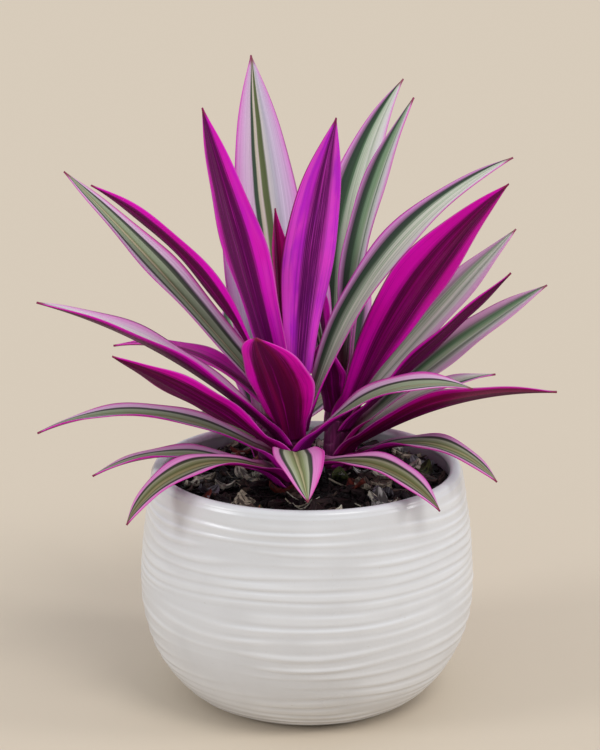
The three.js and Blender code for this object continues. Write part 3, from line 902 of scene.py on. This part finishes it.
# scatters one kind of piece over the mix, away from the stems and the wall
def strew(tree, n, kind, shape):
    least, most, seed = kind["least"], kind["most"], kind["seed"]
    disc = addNode(tree, "GeometryNodeMeshCircle", {
        "Vertices": 64, "Radius": mixBody["Edge Radius"] - strewnEdge}, fill_type="NGON")
    spread = addNode(tree, "GeometryNodeDistributePointsOnFaces", {
        "Mesh": disc.outputs[0], "Density": kind["density"], "Seed": seed})
    x, y, z = separate(tree, pointPlace(tree))
    room = max(least[0], most[0] * 0.6) * 0.4 + 0.5  # mm; nearly half a piece
    kept = addNode(tree, "GeometryNodeDeleteGeometry", {
        "Geometry": spread.outputs[0], "Selection": nearStems(x, y, room).over(0.5)},
        domain="POINT")
    level = mixLevel(n, x, y) + kind["proud"] * mm
    lifted = putPoints(tree, kept.outputs[0], combine(x, y, level))
    lean = math.radians(kind["tilt"])
    turned = randomIn(tree, (-lean, -lean, -math.pi), (lean, lean, math.pi), seed + 1,
                      "FLOAT_VECTOR")
    sized = randomIn(tree, tuple(v * mm for v in least), tuple(v * mm for v in most), seed + 2,
                     "FLOAT_VECTOR")
    placed = addNode(tree, "GeometryNodeInstanceOnPoints", {
        "Points": lifted, "Instance": shape, "Rotation": turned, "Scale": sized})
    curl = kind["curl"] * mm
    told = store(tree, placed.outputs[0], {
        "tone": randomIn(tree, *kind["tones"], seed + 3),
        "curl": randomIn(tree, -curl * 0.2, curl, seed + 3)}, "INSTANCE")
    real = addNode(tree, "GeometryNodeRealizeInstances", {"Geometry": told})

    # bent up at the ends and jagged
    rough = addNode(tree, "ShaderNodeTexNoise", {
        "Vector": pointPlace(tree), "Scale": 420.0, "Detail": 1.0})
    jag = [part.swing(chipJag * most[2] * mm) for part in separate(tree, rough.outputs["Color"])]
    curled, lengthwise = storedNumbers(tree, "curl", "lengthwise")
    offset = combine(jag[0], jag[1], jag[2] + curled * lengthwise ** 2)
    return shadeSmooth(tree, putPoints(tree, real.outputs[0], offset, "Offset"), smooth=False)


stemPost = {"around": 40, "height": 60 * mm, "middle": 115 * mm}


# the mix with a hole for each stem
def drillHoles(tree, mass):
    posts = addNode(tree, "GeometryNodeJoinGeometry")
    for (stemX, stemY), radius in stemHoles:
        post = addNode(tree, "GeometryNodeMeshCylinder", {
            "Vertices": stemPost["around"], "Side Segments": 1, "Radius": radius * mm,
            "Depth": stemPost["height"]}, fill_type="NGON")
        stood = addNode(tree, "GeometryNodeTransform", {
            "Geometry": post.outputs["Mesh"],
            "Translation": (stemX * mm, stemY * mm, stemPost["middle"])})
        tree.links.new(stood.outputs[0], posts.inputs[0])
    holed = addNode(tree, "GeometryNodeMeshBoolean", {"Mesh 1": mass, "Mesh 2": posts.outputs[0]},
                    operation="DIFFERENCE", solver="EXACT")
    return holed.outputs["Mesh"]


def mixTree():
    tree, n = newTree("pottingMix", mixBody)
    shell, run, easting, northing = turningTube(tree, mixMesh)
    sideEnd = mixMesh["sideEnd"]
    inward = ((run - sideEnd) / (1 - sideEnd)).most(0)
    belly = pot["Belly Height"]
    sideRadius, sideHeight = bowlOutline(
        (run / sideEnd).least(1), mixMesh["curve"], (n["Foot Radius"], n["Foot"]),
        (n["Belly Radius"], belly), (n["Edge Radius"] - n["Belly Radius"], n["Top"] - belly),
        pot["Belly Power"], pot["Shoulder Power"])
    topRadius = n["Edge Radius"] * (1 - inward * mixMesh["reachIn"])
    onTop = inward.over(0)
    radius = mix(sideRadius, topRadius, onTop)
    level = mixLevel(n, easting * topRadius, northing * topRadius)
    place = combine(easting * radius, northing * radius, mix(sideHeight, level, onTop))
    holed = drillHoles(tree, shadeSmooth(tree, putPoints(tree, shell, place)))

    # what is joined first comes last in the mesh
    joined = addNode(tree, "GeometryNodeJoinGeometry")
    chip = chipShape(tree, 6, 4)
    shapes = {"husks": chipShape(tree, 12, 6), "crumbs": crumbShape(tree)}
    for name in reversed(list(strewn)):
        tree.links.new(strew(tree, n, strewn[name], shapes.get(name, chip)), joined.inputs[0])
    tree.links.new(store(tree, holed, {"tone": -1.0}), joined.inputs[0])
    endTree(tree, n, joined.outputs[0])
    return tree


# the tone of a strewn piece picks its colour; the mass has a tone below 0
mixLook = {
    # the mass is near black: partly the soil's own dark colour, partly painted shade from the pot's
    # wall and the leaves over it
    "mass": [(0.35, 0.003, 0.002, 0.002), (0.60, 0.009, 0.006, 0.006), (0.78, 0.022, 0.014, 0.013)],
    "chips": [
        (0.00, 0.004, 0.003, 0.003), (0.34, 0.012, 0.007, 0.008), (0.50, 0.030, 0.017, 0.017),
        (0.60, 0.090, 0.060, 0.048), (0.68, 0.320, 0.270, 0.205), (0.80, 0.520, 0.475, 0.385),
        (0.88, 0.150, 0.135, 0.160), (0.92, 0.130, 0.022, 0.014), (0.95, 0.075, 0.095, 0.030),
        (0.975, 0.520, 0.500, 0.470)],
    "soil": (0.010, 0.006, 0.007),  # what clings to the chips
    "roughness": 0.55,
    "specular": 0.12,
    "bump": 0.5 * mm,
    "bumpStrength": 0.8,
}


def mixMaterial():
    material, tree, shader = newMaterial("barkAndCompost")
    x, y, z = objectPlace(tree)
    tone, lengthwise, crosswise = readAttributes(tree, "tone", "lengthwise", "crosswise")
    coarse = noiseAt(x, y, z, scale=320.0, detail=4.0, roughness=0.7)
    fine = noiseAt(x, y, z, scale=1400.0)
    # the near-black mass, partly painted shade
    mass = ramp(coarse, mixLook["mass"])
    grain = noiseAt(crosswise * 2.2 + tone * 90, lengthwise * 0.9, tone * 37, detail=3.0)
    chips = ramp((tone + coarse.swing(0.05)).least(1), mixLook["chips"], "CONSTANT")
    soiled = (grain.ease(0.44, 0.60) * 0.85).most(coarse.ease(0.48, 0.62) * 0.6)
    chips = blend(soiled, chips, mixLook["soil"])
    colour = blend(tone.over(0), mass, chips)
    dress(tree, shader, mixLook, colour, coarse + fine * 0.5)
    return material


def addMix():
    piece = grow("pottingMix", mixTree(), mixBody, mixMaterial())
    seat(piece, "soil")
    print("potting mix done,", len(piece.data.polygons), "faces")


addMix()

# stems: fleshy, wrapped in the overlapping sheaths of the leaves, with a growing tip
stemShape = {  # lengths in mm
    "depth": 26,  # below the top of the mix
    "footTaper": 0.8,
    "bud": 2,
    "sheathDepth": 0.5,
    "sheathDip": 0.45,  # of the pitch of the sheaths
    "sheathTwist": 160,  # radians a metre
    "around": 48,
    "stations": 110,
}


def stemTree():
    tree, n = newTree("sheathedStem", {
        "Place": (0.0, 0.0, 0.0), "Radius": 8 * mm, "Waist Radius": 6 * mm,
        "Top Radius": 1.6 * mm, "First Leaf": 26 * mm, "Shoulder": 70 * mm, "Top": 90 * mm,
        "Bud": 2 * mm, "Sheath Pitch": 3.4 * mm, "Sheath Depth": 0.5 * mm})
    shell, run, easting, northing = turningTube(tree, stemShape)
    height = run * (n["Top"] + n["Bud"])
    foot = mix(stemShape["footTaper"], 1, (height / (n["Radius"] / 2)).least(1))
    middle = ((height - n["First Leaf"]) / (n["Shoulder"] - n["First Leaf"])).clamp()
    upper = ((height - n["Shoulder"]) / (n["Top"] - n["Shoulder"])).clamp()
    bud = ((height - n["Top"]) / n["Bud"]).most(0)
    radius = mix(mix(n["Radius"] * foot, n["Waist Radius"], middle), n["Top Radius"], upper)
    radius = radius * (1 - 0.5 * bud * bud)

    # each sheath ends in an edge that dips and climbs round the stem
    turn = arctan2(northing, easting)
    dip = (turn * 2 + height * stemShape["sheathTwist"]).sin() * stemShape["sheathDip"]
    layer = (height / n["Sheath Pitch"] + (dip - turn / (2 * math.pi))).fraction()
    radius = radius - layer.fade(0.0, 0.18) * n["Sheath Depth"] * (1 - upper)
    baseX, baseY, baseZ = separate(tree, n["Place"])
    place = combine(easting * radius + baseX, northing * radius + baseY, height + baseZ)
    marked = store(tree, shell, {"layer": layer})
    endTree(tree, n, shadeSmooth(tree, putPoints(tree, marked, place)))
    return tree


stemLook = {
    "flesh": [(0.30, 0.030, 0.001, 0.014), (0.55, 0.085, 0.003, 0.050), (0.78, 0.24, 0.030, 0.14)],
    "edge": (0.50, 0.06, 0.30),
    "foot": (0.16, 0.10, 0.06),
    "footTop": 114 * mm,  # above it the flesh is clear of the soil's colour
    "footFade": 5 * mm,
    "roughness": 0.45,
    "specular": 0.25,
    "bump": 0.2 * mm,
    "bumpStrength": 0.6,
}


def stemMaterial():
    material, tree, shader = newMaterial("fleshyStem")
    x, y, z = objectPlace(tree)
    [layer] = readAttributes(tree, "layer")
    streak = noiseAt(x * 500, y * 500, z * 30, detail=3.0)
    blotch = noiseAt(x * 90, y * 90, z * 90)
    flesh = ramp(streak * 0.75 + blotch * 0.25, stemLook["flesh"])
    edge = layer.ease(0.90, 0.97) * streak.ease(0.3, 0.6) * 0.6
    colour = blend(edge, flesh, stemLook["edge"])
    footTop = stemLook["footTop"]
    foot = (z + blotch.swing(4) * mm).fade(footTop - stemLook["footFade"], footTop)
    colour = blend(foot, colour, stemLook["foot"])
    dress(tree, shader, stemLook, colour, streak)
    return material


mixEdge = 71.7 * mm  # where the solid mix ends; the finer one stays half a millimetre inside it


# the height of the solid mix in mm, at a place in mm
def mixTop(x, y):
    share = math.hypot(x, y) * mm / mixEdge
    heap = mixBody["Crown"] * (1 - share * share)
    waves = mixBody["Bump"] * mixWaves(x * mm, y * mm) * (1 - share ** 4)
    return (mixBody["Top"] + heap + waves) / mm


def addStems():
    tree = stemTree()
    material = stemMaterial()
    for name, rosette in rosettes.items():
        foot = mixTop(*rosette["place"]) - stemShape["depth"]
        sizes = {
            "Radius": rosette["radius"],
            "Waist Radius": rosette["radius"] * stemWaist,
            "Top Radius": rosette["topRadius"],
            "First Leaf": rosette["firstLeaf"] - foot,
            "Shoulder": leafHeight(rosette, rosette["openLeaves"]) - foot,
            "Top": leafHeight(rosette, len(rosette["leaves"])) - foot,
            "Bud": stemShape["bud"],
            "Sheath Pitch": rosette["spacing"] * 2,
            "Sheath Depth": stemShape["sheathDepth"],
        }
        values = {size: value * mm for size, value in sizes.items()}
        values["Place"] = tuple(v * mm for v in (*rosette["place"], foot))
        piece = grow(f"{name}Stem", tree, values, material)
        seat(piece, f"{name}_stem")
    print("stems done")


addStems()

# a plain floor, and a sky that lights it evenly
stage = {
    "floor": (0.625, 0.54, 0.435),
    "size": 12,  # metres, from the middle to each side
    "sky": (0.93, 0.96, 1.0),
    "skyStrength": 0.72,
}


def addStage():
    bpy.context.scene.view_settings.view_transform = "Standard"
    material, tree, shader = newMaterial("stageFloor")
    shader.inputs["Base Color"].default_value = (*stage["floor"], 1)
    shader.inputs["Roughness"].default_value = 1.0
    shader.inputs["Specular IOR Level"].default_value = 0.0
    mesh = bpy.data.meshes.new("stageFloor")
    size = stage["size"]
    mesh.from_pydata([(-size, -size, 0), (size, -size, 0), (size, size, 0), (-size, size, 0)], [],
                     [(0, 1, 2, 3)])
    mesh.materials.append(material)
    floor = addObject("stageFloor", mesh)
    world = bpy.data.worlds.new("studio")
    bpy.context.scene.world = world
    world.use_nodes = True
    background = world.node_tree.nodes["Background"]
    background.inputs["Color"].default_value = (*stage["sky"], 1)
    background.inputs["Strength"].default_value = stage["skyStrength"]


# name: the direction it comes from, how wide it looks in degrees, strength, colour
lamps = {
    "key": [(0.9, -1.3, 2.1), 24, 0.9, (1.0, 0.985, 0.96)],
    "side": [(1.45, -0.3, 0.62), 14, 0.75, (1.0, 0.99, 0.985)],
    "fill": [(-1.3, -0.55, 0.6), 20, 0.85, (0.975, 0.985, 1.0)],
}


def addLamps():
    for name, ((x, y, z), size, strength, colour) in lamps.items():
        data = bpy.data.lights.new(name, "SUN")
        data.angle = math.radians(size)
        data.energy = strength
        data.color = colour
        lamp = addObject(name, data)
        lamp.location = (x, y, z)
        lamp.rotation_euler = (math.atan2(math.hypot(x, y), z), 0, math.atan2(y, x) + math.pi / 2)


addStage()
addLamps()
print("stage and lamps done")
